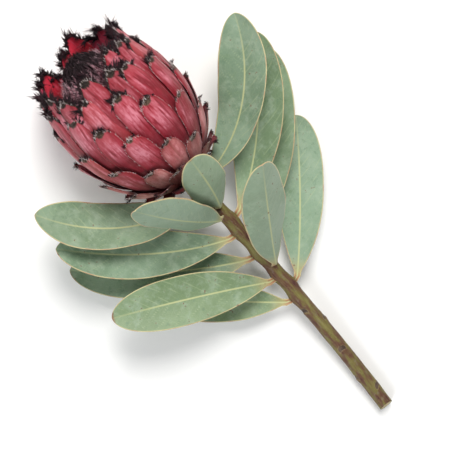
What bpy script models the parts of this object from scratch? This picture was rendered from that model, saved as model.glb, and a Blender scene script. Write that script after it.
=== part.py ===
# A cut protea flower lying on a table: a woody stem, twelve leaves, a cup of overlapping bracts and the dome
# of florets in its mouth. Lengths are written in millimetres and turned into metres by MM.
# +Y points from the cut end to the flower, +Z is up, and the table is the plane z = 0.
import math

import bmesh
import bpy
import numpy as np
from mathutils import Vector

MM = 0.001
GOLDEN_TURN = math.pi * (3 - math.sqrt(5))

# How the flower lies
HEAD_TILT = math.radians(12)  # the head's axis above the table
HEAD_FOOT_HEIGHT = 33.4  # of the head's foot above the table
TABLE_GAP = 0.3  # kept between two pieces that touch

# The cup that the bracts grow from: (height along the head's axis, radius), from the foot to the mouth
CUP_PROFILE = (
    (0, 8.5), (3, 17), (12, 28), (28, 38), (54, 43.5),
    (78, 41), (96, 35.5), (112, 31.5), (124, 30),
)
CUP_SKIN = 2.6  # how deep the cup's own wall lies under the profile
CUP_WALL = 3.6
CUP_FOOT_RADIUS = 7.5
CUP_FLOOR = 22.0
CUP_RIM = 82.0
CUP_SIDES = 40

# The bracts. A pair of values holds for the lowest bract and for the last one at the mouth
BRACT_COUNT = 80
BRACT_THICKNESS = 0.9
# How far up the cup's outline the tips lie, against the share of the way from the lowest bract to the last.
# The lowest bracts are short, the long middle ones show the most, and the last ones crowd into a crown
BRACT_TIPS = ((0, 14), (0.19, 33), (0.43, 66), (0.62, 97), (0.72, 112), (0.86, 122), (1, 129))
BRACT_LENGTHS = (24.0, 54.0)
BRACT_HALF_WIDTHS = (7.8, 8.7, 7.4)  # at the foot, half way and at the mouth
BRACT_LIFTS = (4.2, 1.8)  # how far the tips stand off the cup's outline
BRACT_SINK = 1.2  # how deep the roots reach into the cup's wall
LOWEST_ARC = 2.0  # how far up the cup's outline the lowest roots start
FOOT_FLICK = 1.6  # how far the lowest tips curl outwards
CROWN_SPLAY = 2.0  # how far the tips at the mouth curl in or out
RIM_SLANT = 2.0  # how much lower the tips at the upper side of the mouth lie
BRACT_LEAN = math.radians(4)
TIP_SCATTER = 1.6
WIDTH_SCATTER = 0.5
LIFT_SCATTER = 0.7
BRACT_SHOULDER = 0.68  # where a bract starts to round off, as a share of its length
BRACT_BLUNTNESS = (3.0, 2.5)
BRACT_ROUNDNESS = (0.5, 0.56)
BRACT_TIP_WIDTH = 0.16  # as a share of the bract's width
BRACT_ROWS = (0.0, 0.4, 0.7, 0.88, 0.97, 1.0)
BRACT_COLUMNS = (-1.0, 0.0, 1.0)

# The dome of florets: (height along the head's axis, radius)
DOME_PROFILE = (
    (22, 21), (38, 24), (58, 24.5), (76, 23.5), (87, 21),
    (95, 17), (101, 12.5), (105.5, 8), (108, 3.5), (108.4, 1),
)
DOME_RINGS = (22.4, 34, 48, 62, 76, 87, 95, 101, 105.5, 108)
DOME_SKIN = 0.5
DOME_SIDES = 24
FLORET_COUNT = 80
FLORET_LENGTH = 15.0
FLORET_RADIUS = 1.8
FLORET_SINK = 2.5
FLORET_REACH = 46.0  # how far the florets spread down the dome from its top

# The stem
STEM_LENGTH = 234.0  # measured level, from the head's foot back to the cut end
STEM_SWAY = 15.0  # how far the cut end lies to one side
STEM_SIDES = 12
STEM_RINGS = 44
CUT_SLANT = math.radians(32)
CUT_RADIUS = 5.3
CUT_END_CLEARANCE = 0.02  # of the stem's underside at the cut end
NECK_RADIUS = 4.6
COLLAR_RADIUS = 7.6
CUSHION_HEIGHT = 1.3
SCAR_HEIGHT = 0.8
SCAR_COUNT = 8
FIRST_SCAR = 18.0  # from the cut end
SCAR_STEP = 13.6

# The leaves
LEAF_THICKNESS = 0.8
LEAF_ROOT_THICKNESS = 2.0
LEAF_ROOT_WIDTH = 5.0
LEAF_TIP_WIDTH = 1.8
LEAF_WIDEST = 0.6  # as a share of the leaf's length
LEAF_NECK = 1.2  # from the stem to the first bend
LEAF_COLUMNS = 5
LEAF_ROWS = 12
MARGIN_WAVE = 1.7
LEAF_FOLD = 0.26  # how far a leaf's margins stand up, as a share of the distance from the midrib
# For each leaf: distance back from the head's foot, bearing from +Y towards +X at root and tip, rise above
# level at root and tip, roll at root and tip, length, width, and whether it rests on the table
LEAVES = {
    "leaf_01": (10, (90, 22), (8, 12), (40, 30), 118, 34, False),
    "leaf_02": (17, (-82, -20), (6, 12), (-38, -30), 114, 34, False),
    "leaf_03": (30, (16, 4), (66, 34), (172, 180), 74, 28, False),
    "leaf_04": (38, (-40, -24), (54, 30), (-150, -140), 90, 31, False),
    "leaf_05": (46, (66, 32), (4, 8), (24, 18), 126, 35, False),
    "leaf_06": (56, (-62, -32), (8, 11), (-26, -18), 124, 34, False),
    "leaf_07": (68, (58, 36), (-4, 0), (14, 8), 130, 36, False),
    "leaf_08": (78, (-60, -38), (-4, 0), (-14, -8), 126, 35, False),
    "leaf_09": (90, (22, 30), (50, 34), (165, 160), 112, 33, False),
    "leaf_10": (100, (-48, -58), (20, 4), (-20, -10), 118, 34, False),
    "leaf_11": (112, (48, 42), (4, -4), (14, 4), 114, 33, True),
    "leaf_12": (122, (-44, -40), (2, -3), (-8, 0), 106, 31, True),
}


def wobble(index, channel):
    """A fixed uneven number from -1 to 1 for each index and channel."""
    value = math.sin(index * 12.9898 + channel * 78.233) * 43758.5453
    return 2 * (value - math.floor(value)) - 1


def mix(ends, share):
    return ends[0] + (ends[1] - ends[0]) * share


def smooth_line(points, steps):
    """A Catmull-Rom curve through the points, with this many steps for each span."""
    points = np.array(points, float)
    ends = np.vstack([2 * points[0] - points[1], points, 2 * points[-1] - points[-2]])
    line = []
    for before, start, end, after in zip(ends, ends[1:], ends[2:], ends[3:]):
        for t in np.arange(steps) / steps:
            line.append(
                0.5
                * (
                    2 * start
                    + (end - before) * t
                    + (2 * before - 5 * start + 4 * end - after) * t**2
                    + (3 * start - before - 3 * end + after) * t**3
                )
            )
    line.append(points[-1])
    return np.array(line)


class Profile:
    """A turned outline that can be read by its own arc length or by its height."""

    def __init__(self, stations, steps=12):
        self.line = smooth_line(stations, steps)
        steps_along = np.linalg.norm(np.diff(self.line, axis=0), axis=1)
        self.arc = np.concatenate([[0], np.cumsum(steps_along)])

    def at_arc(self, arc):
        """(height, radius, outward normal along the axis, outward normal along the radius)."""
        near = 1.5
        start, end = (
            np.array([np.interp(a, self.arc, self.line[:, k]) for k in (0, 1)])
            for a in (min(arc, self.arc[-1]) - near, min(arc, self.arc[-1]))
        )
        rise, widen = (end - start) / np.linalg.norm(end - start)
        height, radius = end + max(0.0, arc - self.arc[-1]) * np.array([rise, widen])
        return height, radius, -widen, rise

    def radius_at(self, height):
        return float(np.interp(height, self.line[:, 0], self.line[:, 1]))


CUP = Profile(CUP_PROFILE)
DOME = Profile(DOME_PROFILE)

HEAD_FOOT = np.array([0.0, 0.0, HEAD_FOOT_HEIGHT])
HEAD_AXIS = np.array([0.0, math.cos(HEAD_TILT), math.sin(HEAD_TILT)])
HEAD_UP = np.array([0.0, -math.sin(HEAD_TILT), math.cos(HEAD_TILT)])
HEAD_SIDE = np.array([1.0, 0.0, 0.0])


def around(turn):
    """(outward, sideways) directions at this turn round the head's axis."""
    outward = math.cos(turn) * HEAD_SIDE + math.sin(turn) * HEAD_UP
    sideways = -math.sin(turn) * HEAD_SIDE + math.cos(turn) * HEAD_UP
    return outward, sideways


def in_head(turn, height, radius):
    return HEAD_FOOT + height * HEAD_AXIS + radius * around(turn)[0]


def make_material(name, colour, roughness):
    material = bpy.data.materials.new(name)
    material.use_nodes = True
    shader = material.node_tree.nodes["Principled BSDF"]
    shader.inputs["Base Color"].default_value = (*colour, 1)
    shader.inputs["Roughness"].default_value = roughness
    shader.inputs["Metallic"].default_value = 0
    return material


def make_object(name, points, faces, material=None):
    """An object from points in millimetres, with its faces turned outwards."""
    mesh = bpy.data.meshes.new(name)
    mesh.from_pydata([tuple(float(x) * MM for x in p) for p in points], [], faces)
    shape = bmesh.new()
    shape.from_mesh(mesh)
    bmesh.ops.recalc_face_normals(shape, faces=shape.faces)
    shape.to_mesh(mesh)
    shape.free()
    thing = bpy.data.objects.new(name, mesh)
    bpy.context.scene.collection.objects.link(thing)
    if material:
        mesh.materials.append(material)
    return thing


def shade(thing, angle=40):
    thing.data.shade_smooth()
    thing.data.set_sharp_from_angle(angle=math.radians(angle))


def slab(top, bottom):
    """Points and triangles of a closed blade between two grids of points with the same rows and columns.
    Both faces are split along the same diagonals, so that a thin waved blade doesn't cross itself."""
    rows, columns = top.shape[:2]
    points = np.concatenate([top.reshape(-1, 3), bottom.reshape(-1, 3)])
    under = rows * columns
    faces = []
    for r in range(rows - 1):
        for c in range(columns - 1):
            a, b = r * columns + c, r * columns + c + 1
            d, e = a + columns, b + columns
            faces += [(a, b, e), (a, e, d)]
            faces += [(under + a, under + e, under + b), (under + a, under + d, under + e)]
    edge = list(range(columns))
    edge += [r * columns + columns - 1 for r in range(1, rows)]
    edge += [(rows - 1) * columns + c for c in range(columns - 2, -1, -1)]
    edge += [r * columns for r in range(rows - 2, 0, -1)]
    for a, b in zip(edge, edge[1:] + edge[:1]):
        faces += [(a, under + a, under + b), (a, under + b, b)]
    return points, faces


def tube(rings):
    """Points and faces of a closed body through rings of points, each ring with the same number of points."""
    sides = len(rings[0])
    points = [p for ring in rings for p in ring]
    faces = []
    for r in range(len(rings) - 1):
        for c in range(sides):
            a, b = r * sides + c, r * sides + (c + 1) % sides
            faces.append((a, b, b + sides, a + sides))
    for centre_of, at in ((rings[0], 0), (rings[-1], (len(rings) - 1) * sides)):
        points.append(np.mean(centre_of, axis=0))
        faces += [(at + c, at + (c + 1) % sides, len(points) - 1) for c in range(sides)]
    return points, faces


def fused(core, pieces):
    """The core with all the pieces joined to it in one Boolean union."""
    group = bpy.data.collections.new(core.name + "_pieces")
    for piece in pieces:
        group.objects.link(piece)
    joining = core.modifiers.new("join", "BOOLEAN")
    joining.operation = "UNION"
    joining.operand_type = "COLLECTION"
    joining.collection = group
    joining.solver = "MANIFOLD"
    apply_modifiers(core)
    for piece in pieces:
        bpy.data.objects.remove(piece)
    bpy.data.collections.remove(group)
    return core


def apply_modifiers(thing):
    bpy.context.view_layer.update()
    graph = bpy.context.evaluated_depsgraph_get()
    made = bpy.data.meshes.new_from_object(thing.evaluated_get(graph))
    thing.modifiers.clear()
    thing.data = made


def cut_at_table(thing):
    """Takes off what would sink into the table, which leaves a small flat spot."""
    reach, depth = 200.0, 40.0
    corners = [(x, y, z) for x in (-reach, reach) for y in (-reach, reach) for z in (-depth, 0)]
    quads = [(0, 1, 3, 2), (4, 6, 7, 5), (0, 4, 5, 1), (2, 3, 7, 6), (0, 2, 6, 4), (1, 5, 7, 3)]
    table = make_object("table_cutter", corners, quads)
    cutting = thing.modifiers.new("table", "BOOLEAN")
    cutting.operation = "DIFFERENCE"
    cutting.object = table
    cutting.solver = "MANIFOLD"
    apply_modifiers(thing)
    bpy.data.objects.remove(table)


def keep_outer_skin(thing):
    """Fills the pockets that joining has sealed and drops loose scraps: only the largest closed skin stays."""
    shape = bmesh.new()
    shape.from_mesh(thing.data)
    left = set(shape.verts)
    skins = []
    while left:
        seen = set()
        waiting = [left.pop()]
        while waiting:
            vert = waiting.pop()
            seen.add(vert)
            for edge in vert.link_edges:
                other = edge.other_vert(vert)
                if other in left:
                    left.discard(other)
                    waiting.append(other)
        skins.append(seen)
    skins.sort(key=len)
    spare = [vert for skin in skins[:-1] for vert in skin]
    bmesh.ops.delete(shape, geom=spare, context="VERTS")
    shape.to_mesh(thing.data)
    shape.free()


# Bracts


def bract_plan(index):
    """The sizes of one bract, from the lowest and outermost (0) to the last one at the mouth."""
    share = index / (BRACT_COUNT - 1)
    tip = np.interp(share, *zip(*BRACT_TIPS)) + TIP_SCATTER * wobble(index, 1)
    tip -= RIM_SLANT * share**2 * math.sin(index * GOLDEN_TURN)
    width = np.interp(share, (0, 0.5, 1), BRACT_HALF_WIDTHS)
    return {
        "turn": index * GOLDEN_TURN,
        "root": max(LOWEST_ARC, tip - mix(BRACT_LENGTHS, share**0.5)),
        "tip": tip,
        "half_width": width + WIDTH_SCATTER * wobble(index, 2),
        "lift": mix(BRACT_LIFTS, share) + LIFT_SCATTER * wobble(index, 3),
        "flick": FOOT_FLICK * (1 - share) ** 2 + CROWN_SPLAY * share**3 * wobble(index, 5),
        "lean": BRACT_LEAN * wobble(index, 4),
        "bluntness": mix(BRACT_BLUNTNESS, share),
        "roundness": mix(BRACT_ROUNDNESS, share),
    }


def bract_outline(plan, along):
    """A bract's half width as a share of its greatest: nearly straight sides and a tip that is broad and
    blunt on the lowest bracts and slimmer on the upper ones."""
    if along < BRACT_SHOULDER:
        return 0.8 + 0.2 * math.sin(math.pi / 2 * along / BRACT_SHOULDER)
    closing = min(1.0, (along - BRACT_SHOULDER) / (1 - BRACT_SHOULDER))
    return max(BRACT_TIP_WIDTH, (1 - closing ** plan["bluntness"]) ** plan["roundness"])


def bract_point(plan, along, across, depth):
    """A point of a bract: along from root (0) to tip (1), across from -1 to 1, and depth under its outer face.
    The bract follows the cup's outline, rises off it towards the tip and bends round it from side to side."""
    height, radius, normal_axis, normal_radius = CUP.at_arc(mix((plan["root"], plan["tip"]), along))
    rise = mix((-CUP_SKIN - BRACT_SINK, plan["lift"]), along**0.75)
    rise += plan["flick"] * max(0.0, (along - 0.75) / 0.25) ** 2
    half = plan["half_width"] * bract_outline(plan, along)
    bend = max(8.0, 0.72 * radius * (1 - 0.35 * along))
    angle = half * across / bend
    level = rise - bend * (1 - math.cos(angle)) - depth
    aside = bend * math.sin(angle) + plan["lean"] * (plan["tip"] - plan["root"]) * along
    outward, sideways = around(plan["turn"])
    normal = normal_axis * HEAD_AXIS + normal_radius * outward
    return HEAD_FOOT + height * HEAD_AXIS + radius * outward + level * normal + aside * sideways


def make_bract(index):
    plan = bract_plan(index)
    top = np.array([[bract_point(plan, v, u, 0) for u in BRACT_COLUMNS] for v in BRACT_ROWS])
    bottom = np.array([[bract_point(plan, v, u, BRACT_THICKNESS) for u in BRACT_COLUMNS] for v in BRACT_ROWS])
    return make_object(f"bract_{index}", *slab(top, bottom))


def ring_round_head(height, radius, sides):
    return [in_head(2 * math.pi * c / sides, height, radius) for c in range(sides)]


def make_cup():
    """The cup that the bracts grow from: closed at the foot, open at the mouth."""
    outside = (0, 2, 6, 14, 28, 44, 60, 72, CUP_RIM)
    inside = (CUP_RIM, 70, 54, 38, CUP_FLOOR)
    stations = [(h, max(CUP_FOOT_RADIUS, CUP.radius_at(h) - CUP_SKIN)) for h in outside]
    stations += [(h, CUP.radius_at(h) - CUP_SKIN - CUP_WALL) for h in inside]
    return make_object("bract_head", *tube([ring_round_head(h, r, CUP_SIDES) for h, r in stations]))


def make_bract_head(material):
    head = fused(make_cup(), [make_bract(i) for i in range(BRACT_COUNT)])
    cut_at_table(head)
    keep_outer_skin(head)
    head.data.materials.clear()
    head.data.materials.append(material)
    shade(head)
    return head


# The dome of florets


def floret_place(index):
    """(turn, arc on the dome's profile) of one floret, from the top down, evenly spread over the surface."""
    share = (index + 0.5) / FLORET_COUNT
    return index * GOLDEN_TURN, DOME.arc[-1] - FLORET_REACH * share**0.62


def make_floret(index):
    """A four-sided spindle that leans from the dome's surface towards the dome's top."""
    turn, arc = floret_place(index)
    height, radius, normal_axis, normal_radius = DOME.at_arc(arc)
    outward, sideways = around(turn)
    normal = normal_axis * HEAD_AXIS + normal_radius * outward
    foot = HEAD_FOOT + height * HEAD_AXIS + radius * outward - FLORET_SINK * normal
    climb = HEAD_AXIS * normal_radius - outward * normal_axis
    heading = 0.42 * normal + 0.9 * climb
    heading /= np.linalg.norm(heading)
    third = np.cross(heading, sideways)
    length = FLORET_LENGTH * (0.55 + 0.45 * min(1.0, (DOME.arc[-1] - arc) / 18.0))
    corners = ((1, 0), (0, 1), (-1, 0), (0, -1))
    points = []
    for along, wide in ((0, 0.8), (0.62, 1.0)):
        centre = foot + along * length * heading
        points += [centre + FLORET_RADIUS * wide * (x * sideways + y * third) for x, y in corners]
    points.append(foot + length * heading)
    faces = [(0, 1, 2, 3)]
    faces += [(c, (c + 1) % 4, 4 + (c + 1) % 4, 4 + c) for c in range(4)]
    faces += [(4 + c, 4 + (c + 1) % 4, 8) for c in range(4)]
    return make_object(f"floret_{index}", points, faces)


def make_dome(material):
    rings = [ring_round_head(h, DOME.radius_at(h) - DOME_SKIN, DOME_SIDES) for h in DOME_RINGS]
    dome = fused(make_object("floret_dome", *tube(rings)), [make_floret(i) for i in range(FLORET_COUNT)])
    keep_outer_skin(dome)
    dome.data.materials.clear()
    dome.data.materials.append(material)
    shade(dome)
    return dome


# The stem


def stem_centre(back):
    """A point of the stem's centre line, this far back from the head's foot. The stem leaves the head along
    the head's axis and droops until its cut end lies level on the table."""
    share = back / STEM_LENGTH
    end_height = CUT_RADIUS + CUT_END_CLEARANCE
    drop = HEAD_FOOT_HEIGHT - end_height
    bending = STEM_LENGTH * math.tan(HEAD_TILT) / drop
    height = end_height + drop * max(0.0, 1 - share) ** bending
    return np.array([-STEM_SWAY * share**2, -back, height])


def stem_frame(back):
    """(centre, forward, side, up) of the stem this far back from the head's foot."""
    ahead, behind = stem_centre(back - 0.5), stem_centre(back + 0.5)
    forward = (ahead - behind) / np.linalg.norm(ahead - behind)
    side = np.cross(forward, [0, 0, 1])
    side /= np.linalg.norm(side)
    return stem_centre(back), forward, side, np.cross(side, forward)


def bump(distance, width):
    return math.exp(-((distance / width) ** 2))


def stem_radius(back, turn, cushions):
    """The stem's radius: slimmest below the head, swelling to the head's foot and to the cut end,
    with a cushion under each leaf and a low ridge at each scar."""
    share = back / STEM_LENGTH
    radius = NECK_RADIUS + (CUT_RADIUS - NECK_RADIUS) * share
    radius += (COLLAR_RADIUS - NECK_RADIUS) * math.exp(-back / 9)
    for at, facing in cushions:
        apart = (turn - facing + math.pi) % (2 * math.pi) - math.pi
        radius += CUSHION_HEIGHT * bump(back - at, 6) * bump(apart, 0.7)
    for scar in range(SCAR_COUNT):
        at = STEM_LENGTH - FIRST_SCAR - SCAR_STEP * scar
        apart = (turn - GOLDEN_TURN * (scar + 0.3) + math.pi) % (2 * math.pi) - math.pi
        radius += SCAR_HEIGHT * bump(back - at, 4) * bump(apart, 0.6)
    return radius


def make_stem(material, cushions):
    rings = []
    for step in range(STEM_RINGS + 1):
        back = TABLE_GAP + (STEM_LENGTH - TABLE_GAP) * step / STEM_RINGS
        centre, forward, side, up = stem_frame(back)
        ring = []
        for c in range(STEM_SIDES):
            turn = 2 * math.pi * c / STEM_SIDES
            radius = stem_radius(back, turn, cushions)
            point = centre + radius * (math.cos(turn) * side + math.sin(turn) * up)
            slant = math.tan(CUT_SLANT) * radius * math.sin(turn) * max(0.0, 1 - (STEM_LENGTH - back) / 12)
            ring.append(point + slant * forward)
        rings.append(ring)
    stem = make_object("stem", *tube(rings), material)
    shade(stem, 50)
    return stem


# Leaves


def headings(bearing, rise, roll):
    """(forward, side, up) of a leaf that runs this way, turned about its midrib by roll."""
    b, r, w = math.radians(bearing), math.radians(rise), math.radians(roll)
    forward = np.array([math.cos(r) * math.sin(b), math.cos(r) * math.cos(b), math.sin(r)])
    level = np.array([math.cos(b), -math.sin(b), 0.0])
    above = np.cross(level, forward)
    return forward, math.cos(w) * level + math.sin(w) * above, math.cos(w) * above - math.sin(w) * level


def leaf_seat(plan):
    """(point on the stem, outward direction, turn round the stem) where a leaf grows."""
    back, bearing, rise, roll = plan[:4]
    centre, forward, side, up = stem_frame(back)
    heading = headings(bearing[0], rise[0], roll[0])[0]
    outward = heading - heading.dot(forward) * forward
    outward /= np.linalg.norm(outward)
    return centre, outward, math.atan2(outward.dot(up), outward.dot(side)) % (2 * math.pi)


def leaf_outline(along):
    """A leaf's half width as a share of its greatest: narrow at the root and widest past the middle."""
    widen = 1 - (1 - min(1.0, along / LEAF_WIDEST)) ** 2.1
    closing = max(0.0, (along - LEAF_WIDEST) / (1 - LEAF_WIDEST))
    return widen * (1 - closing**2.4) ** 0.62


def leaf_turns(plan, along):
    """(bearing, rise, roll) of the leaf at this share of its length. Most of the bending is near the root."""
    return [mix(ends, along**0.8) for ends in plan[1:4]]


def leaf_spine(plan, seat, outward):
    """The midrib's points at even steps, from just off the stem."""
    steps = 80
    length = plan[4]
    spine = [seat + LEAF_NECK * outward]
    for step in range(steps):
        forward = headings(*leaf_turns(plan, (step + 0.5) / steps))[0]
        spine.append(spine[-1] + forward * length / steps)
    return np.array(spine)


def leaf_grid(plan, cushions, number):
    """The upper and lower grids of points of one leaf."""
    back, width, on_table = plan[0], plan[5], plan[6]
    centre, outward, turn = leaf_seat(plan)
    seat = centre + (stem_radius(back, turn, cushions) + TABLE_GAP) * outward
    spine = leaf_spine(plan, seat, outward)
    rows = 1 - (1 - np.linspace(0, 1, LEAF_ROWS)) ** 1.4
    top, bottom = [], []
    for along in rows:
        middle = [np.interp(along, np.linspace(0, 1, len(spine)), spine[:, k]) for k in range(3)]
        forward, side, up = headings(*leaf_turns(plan, along))
        half = max(LEAF_ROOT_WIDTH / 2 * (1 - along), width / 2 * leaf_outline(along), LEAF_TIP_WIDTH / 2)
        thick = LEAF_THICKNESS + (LEAF_ROOT_THICKNESS - LEAF_THICKNESS) * math.exp(-along / 0.08)
        across = np.linspace(-1, 1, LEAF_COLUMNS)
        swing = np.sin(9.5 * along + 2.1 * number + across)
        wave = MARGIN_WAVE * math.sin(math.pi * along) * across**2 * swing
        lift = LEAF_FOLD * half * np.abs(across) ** 1.5 + wave
        row = middle + half * across[:, None] * side + lift[:, None] * up
        top.append(row + thick / 2 * up)
        bottom.append(row - thick / 2 * up)
    top, bottom = np.array(top), np.array(bottom)
    for grid in (top, bottom):
        grid[0] -= ((grid[0] - seat) @ outward)[:, None] * outward
    if on_table:
        rest_on_table(top, bottom, rows)
    return top, bottom


def rest_on_table(top, bottom, rows):
    """Bends the leaf so that its lowest point just touches the table."""
    bend = (rows**2)[:, None]
    for _ in range(12):
        lowest = min(top[..., 2].min(), bottom[..., 2].min())
        for grid in (top, bottom):
            grid[..., 2] -= lowest * bend


def make_leaf(name, plan, material, cushions):
    number = int(name.split("_")[1])
    leaf = make_object(name, *slab(*leaf_grid(plan, cushions, number)), material)
    shade(leaf)
    return leaf


def centre_on_origin(things):
    """Moves all the pieces together so that the middle of their box, seen from above, is the origin."""
    corners = [thing.matrix_world @ Vector(v.co) for thing in things for v in thing.data.vertices]
    middle = [(max(p[i] for p in corners) + min(p[i] for p in corners)) / 2 for i in (0, 1)]
    for thing in things:
        for vertex in thing.data.vertices:
            vertex.co.x -= middle[0]
            vertex.co.y -= middle[1]


def main():
    for thing in list(bpy.data.objects):
        bpy.data.objects.remove(thing)
    bark = make_material("bark", (0.16, 0.085, 0.035), 0.75)
    leaf_green = make_material("leaf_green", (0.25, 0.36, 0.21), 0.6)
    bract_rose = make_material("bract_rose", (0.42, 0.07, 0.10), 0.55)
    floret_black = make_material("floret_black", (0.02, 0.012, 0.018), 0.85)
    cushions = [(plan[0], leaf_seat(plan)[2]) for plan in LEAVES.values()]
    pieces = [make_stem(bark, cushions), make_bract_head(bract_rose), make_dome(floret_black)]
    pieces += [make_leaf(name, plan, leaf_green, cushions) for name, plan in LEAVES.items()]
    centre_on_origin(pieces)


main()
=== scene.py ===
# A cut protea flower lying on a pale table, seen from above. Every solid of the frame gets a finer surface.
# Lengths are in millimetres until makePiece turns them into metres.
import math

import bpy
import numpy as np
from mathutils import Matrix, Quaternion, Vector


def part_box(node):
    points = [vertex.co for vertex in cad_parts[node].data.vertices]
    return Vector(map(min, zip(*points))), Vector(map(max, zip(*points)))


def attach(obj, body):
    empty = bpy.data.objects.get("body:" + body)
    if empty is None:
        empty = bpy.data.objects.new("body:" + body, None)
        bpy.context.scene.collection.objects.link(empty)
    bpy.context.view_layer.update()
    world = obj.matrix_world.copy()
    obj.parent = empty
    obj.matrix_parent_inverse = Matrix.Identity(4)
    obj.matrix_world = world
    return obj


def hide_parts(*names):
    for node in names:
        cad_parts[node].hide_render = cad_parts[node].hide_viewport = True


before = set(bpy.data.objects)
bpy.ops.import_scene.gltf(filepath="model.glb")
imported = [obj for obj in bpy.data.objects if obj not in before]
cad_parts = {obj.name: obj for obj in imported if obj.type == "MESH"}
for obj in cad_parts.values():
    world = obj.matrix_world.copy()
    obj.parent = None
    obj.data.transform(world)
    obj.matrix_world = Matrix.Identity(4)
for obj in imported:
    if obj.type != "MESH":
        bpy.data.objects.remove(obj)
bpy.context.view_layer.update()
print("frame loaded:", len(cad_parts), "solids")

mm = 0.001
goldenTurn = math.pi * (3 - math.sqrt(5))
tableGap = 0.02  # how far hairs and bark keep above the table
poleRadius = 0.01  # of the ring that closes the end of a turned piece
chordRun = 1.5  # the stretch of an outline that gives its direction
frameShift = np.zeros(3)  # from these sums to the frame, set once the stem is worked out


# Numbers, outlines and directions

def mix(ends, share):
    # the value this share of the way from the first end to the second
    return ends[0] + (ends[1] - ends[0]) * share


def wobble(index, channel):
    # a fixed uneven number from -1 to 1: twice the fraction that a large sine leaves, less one
    value = np.sin(index * 12.9898 + channel * 78.233) * 43758.5453
    return 2 * (value - np.floor(value)) - 1


def smoothStep(value, low, high):
    # 0 below low, 1 above high, and 3t^2 - 2t^3 between them
    t = np.clip((value - low) / (high - low), 0, 1)
    return t * t * (3 - 2 * t)


def bump(distance, width):
    # a bell: e to the minus (distance / width) squared
    return np.exp(-((distance / width) ** 2))


def unit(vectors):
    # each vector divided by its length
    return vectors / np.linalg.norm(vectors, axis=-1, keepdims=True)


def dot(a, b):
    # the components multiplied in pairs and added up, kept as an axis of one number
    return np.sum(a * b, axis=-1, keepdims=True)


def turned(angle, first, second):
    # the direction this angle round from the first one towards the second
    return np.cos(angle)[..., None] * first + np.sin(angle)[..., None] * second


def evenTurns(count):
    # this many turns round a circle, from 0 on
    return 2 * math.pi * np.arange(count) / count


def tipSteps(count, power):
    # numbers from 0 to 1 that lie closer together towards 1: one less a power of what is left
    return 1 - (1 - np.linspace(0, 1, count)) ** power


def edgeSteps(count, share):
    # numbers from -1 to 1 that lie closer together at both ends, by this share of a sine
    even = np.linspace(-1, 1, count)
    return (1 - share) * even + share * np.sin(math.pi / 2 * even)


def sharePast(along, start):
    # 0 up to the start, then rising evenly to 1
    return np.clip((along - start) / (1 - start), 0, 1)


def pointsAlong(line, lengths, at):
    # the points at these lengths along a line, straight between its own points
    return np.stack([np.interp(at, lengths, column) for column in line.T], axis=-1)


def smoothLine(stations, steps=12):
    # Catmull-Rom: between b and c, half of 2b + (c-a)t + (2a-5b+4c-d)t^2 + (3b-a-3c+d)t^3
    points = np.array(stations, float)
    points = np.vstack([2 * points[0] - points[1], points, 2 * points[-1] - points[-2]])
    t = (np.arange(steps) / steps)[None, :, None]
    a, b, c, d = (points[k:len(points) - 3 + k, None] for k in range(4))
    spans = (2 * b + (c - a) * t + (2 * a - 5 * b + 4 * c - d) * t**2 + (3 * b - a - 3 * c + d) * t**3) / 2
    return np.vstack([spans.reshape(-1, 2), stations[-1]])


def makeProfile(stations):
    # a smooth outline of (height, radius), with the length along it at each of its points
    line = smoothLine(stations)
    steps = np.linalg.norm(np.diff(line, axis=0), axis=1)
    return line, np.concatenate([[0], np.cumsum(steps)])


def atArc(profile, arc):
    # height, radius and outward normal at a length along an outline: the normal is a quarter turn from a
    # short chord that ends there, and past the outline's end the chord runs straight on
    line, lengths = profile
    inside = np.minimum(arc, lengths[-1])
    start, end = (pointsAlong(line, lengths, place) for place in (inside - chordRun, inside))
    chord = unit(end - start)
    place = end + (arc - inside)[..., None] * chord
    return place[..., 0], place[..., 1], -chord[..., 1:], chord[..., :1]


def liftTo(height, points):
    # moves every point that lies lower up to this height above the table
    points[..., 2] = np.maximum(height, points[..., 2])


# Meshes

def gridQuads(rows, columns, closed=False):
    # the quads between neighbouring rows and columns of points; closed joins the last column to the first
    r = np.arange(rows - 1)[:, None] * columns
    c = np.arange(columns if closed else columns - 1)[None]
    d = (c + 1) % columns
    return np.stack([r + c, r + d, r + d + columns, r + c + columns], axis=-1).reshape(-1, 4)


def bladeQuads(rows, columns):
    # an upper grid, the lower grid turned over and the rim between them
    upper = gridQuads(rows, columns)
    under = rows * columns
    edge = np.concatenate([
        np.arange(columns),
        np.arange(2 * columns - 1, under, columns),
        np.arange(under - 2, under - columns - 1, -1),
        np.arange(under - 2 * columns, 0, -columns),
    ])
    after = np.roll(edge, -1)
    rim = np.stack([after, edge, edge + under, after + under], axis=-1)
    return np.concatenate([upper, upper[:, ::-1] + under, rim])


def tubeFaces(rows, sides):
    # a closed tube of rings, with one polygon over each end
    ring = np.arange(sides)[None]
    return [gridQuads(rows, sides, closed=True), ring, (rows - 1) * sides + ring[:, ::-1]]


def repeated(faces, count, size):
    # the same faces for each of many shapes that have this many points
    return (faces[None] + size * np.arange(count)[:, None, None]).reshape(-1, faces.shape[1])


def enclosed(points, faces):
    # six times the volume inside: the sum over each face's fan of triangles of a . (b x c)
    total = 0
    for group in faces:
        for k in range(1, group.shape[1] - 1):
            a, b, c = points[group[:, 0]], points[group[:, k]], points[group[:, k + 1]]
            total += np.sum(a * np.cross(b, c))
    return total


def addObject(name, data):
    thing = bpy.data.objects.new(name, data)
    bpy.context.scene.collection.objects.link(thing)
    return thing


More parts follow.
